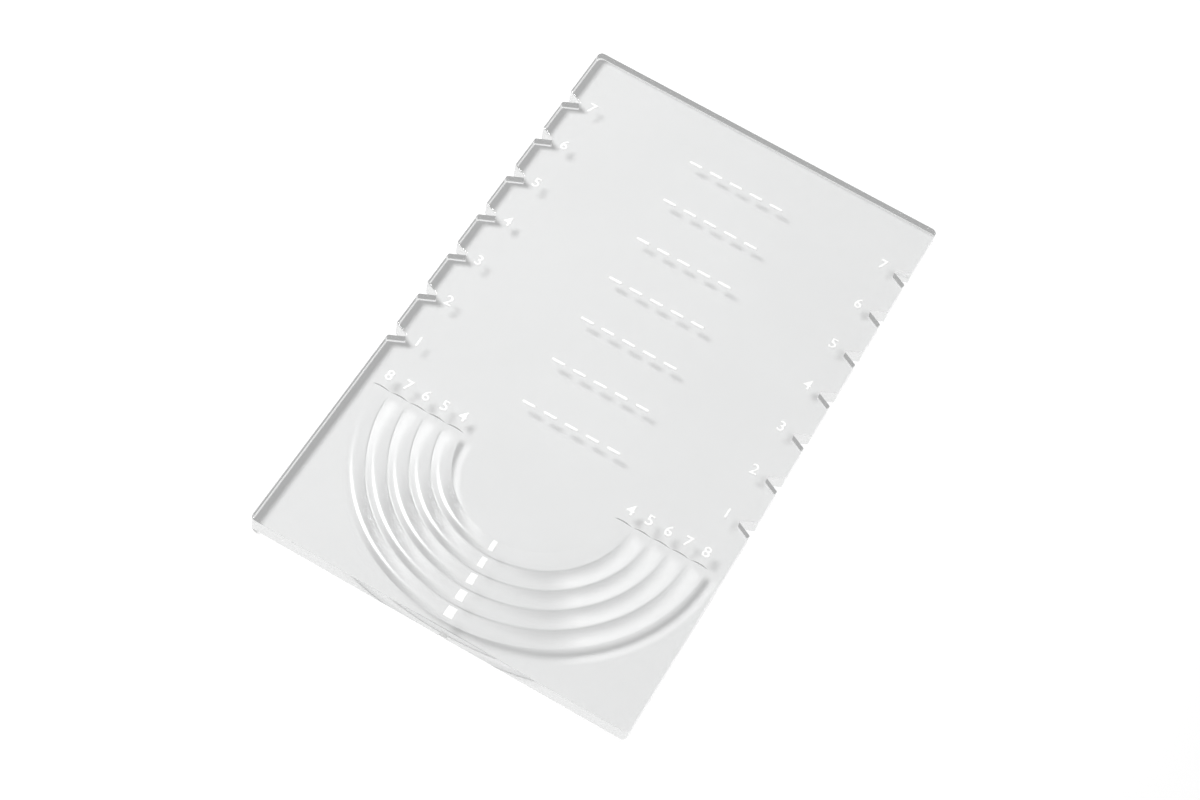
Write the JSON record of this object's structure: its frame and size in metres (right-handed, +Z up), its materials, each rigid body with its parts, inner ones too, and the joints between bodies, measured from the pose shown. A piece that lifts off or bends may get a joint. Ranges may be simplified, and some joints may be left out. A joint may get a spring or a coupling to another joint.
{
  "type": "clear notched gauge plate",
  "caption": "Clear moulded plastic plate with numbered V notches along both long edges, dashed cross lines between them and nested half-ring beads numbered at their ends",
  "frame": {"origin": "centre of the plate's outline, on its flat underside", "axes": "+X across the plate to its right edge, +Y along the plate towards its highest row, +Z up out of the face that carries the marks and beads"},
  "size_m": [0.0684, 0.116, 0.0037],
  "materials": {
    "clear_plastic": "clear, glossy, slightly grey",
    "white_marks": "white, matt"
  },
  "bodies": {
    "root": {"plate": "clear_plastic", "row_dashes_1": "white_marks", "row_dashes_2": "white_marks", "row_dashes_3": "white_marks", "row_dashes_4": "white_marks", "row_dashes_5": "white_marks", "row_dashes_6": "white_marks", "row_dashes_7": "white_marks", "centre_marks": "white_marks"}
  },
  "joints": []
}
